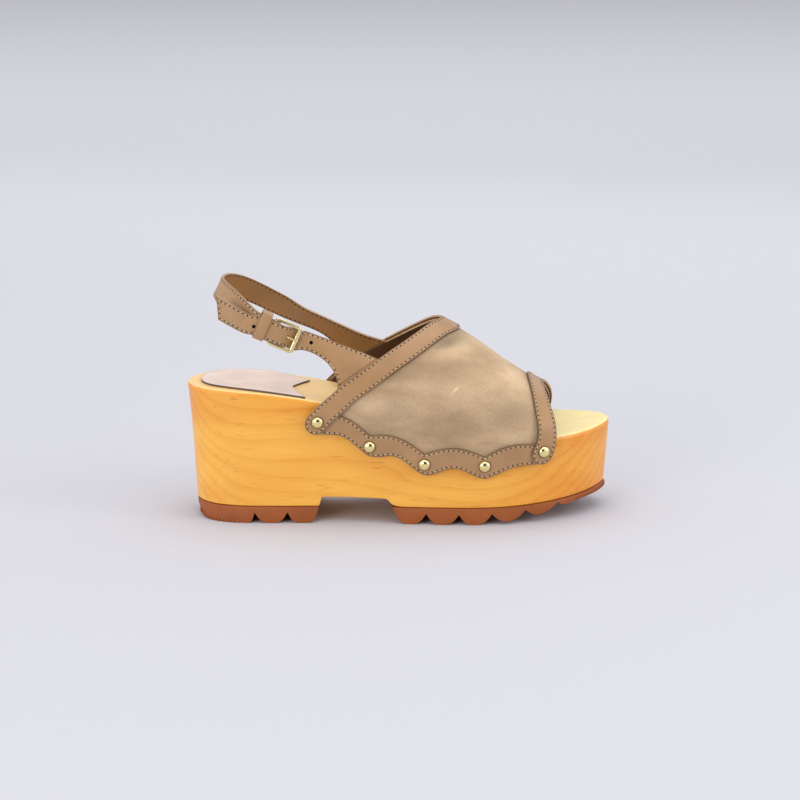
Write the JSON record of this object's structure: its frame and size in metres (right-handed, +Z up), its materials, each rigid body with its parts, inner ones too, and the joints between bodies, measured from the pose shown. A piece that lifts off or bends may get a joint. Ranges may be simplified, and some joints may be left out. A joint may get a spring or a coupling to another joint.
{
  "type": "wooden sole sandal",
  "caption": "Slingback platform sandal: a wooden sole on two lugged rubber outsoles, a nailed open-toe suede vamp with leather bands, and a buckled heel strap.",
  "frame": {"origin": "middle of the shoe's outer box, on the floor it stands on", "axes": "+X from the heel to the toe, +Y to the inner (medial) side of this right shoe, +Z up"},
  "size_m": [0.2513, 0.0962, 0.1418],
  "materials": {
    "wood": "honey varnish over pale grained wood",
    "rubber": "matt caramel brown",
    "sock": "smooth nude pink",
    "suede": "soft beige taupe suede, lined in brown leather",
    "leather": "smooth taupe, edge stitched",
    "brass": "polished light gold"
  },
  "bodies": {
    "root": {"wood_sole": "wood", "heel_outsole": "rubber", "forefoot_outsole": "rubber", "sock_pad": "sock", "vamp": "suede", "collar_band": "leather", "toe_band": "leather", "side_band_lateral": "leather", "side_band_medial": "leather", "lateral_strap": "leather", "sling_strap": "leather", "keeper_loop": "leather", "buckle_frame": "brass", "buckle_prong": "brass", "nail_lateral_1": "brass", "nail_lateral_2": "brass", "nail_lateral_3": "brass", "nail_lateral_4": "brass", "nail_lateral_5": "brass", "nail_medial_1": "brass", "nail_medial_2": "brass", "nail_medial_3": "brass", "nail_medial_4": "brass", "nail_medial_5": "brass"}
  },
  "joints": []
}
